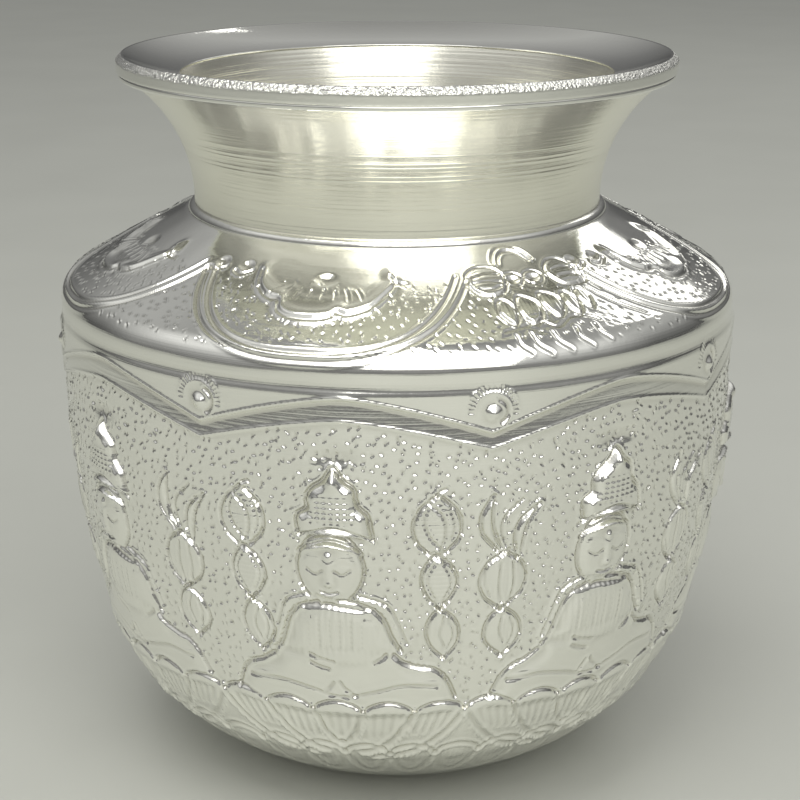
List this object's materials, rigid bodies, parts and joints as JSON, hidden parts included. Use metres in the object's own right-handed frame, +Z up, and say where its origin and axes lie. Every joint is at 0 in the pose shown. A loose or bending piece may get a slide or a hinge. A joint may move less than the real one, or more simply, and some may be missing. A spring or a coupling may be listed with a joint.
{
  "type": "lota water pot",
  "caption": "Round-bellied metal water pot with a domed shoulder, flared neck and turned rim, raised all round with seated figures on lotus seats.",
  "frame": {"origin": "middle of the flat that the pot stands on, on the pot's axis", "axes": "+Z up along the pot's axis, -Y towards the front figure"},
  "size_m": [0.1458, 0.1458, 0.1489],
  "materials": {
    "silvered_belly": "bright silver plating, hand raised and chased",
    "silvered_shoulder": "bright silver plating, chased and stippled",
    "braze": "dull brazing metal",
    "silvered_neck": "bright silver plating over lathe lines",
    "solder": "bright plated solder bead",
    "silvered_rim": "bright silver plating, turned, with a ground bevel"
  },
  "bodies": {
    "root": {"belly_bowl": "silvered_belly", "shoulder_dome": "silvered_shoulder", "edge_braze": "braze", "neck_collar": "silvered_neck", "neck_solder": "solder", "rim_ring": "silvered_rim"}
  },
  "joints": []
}
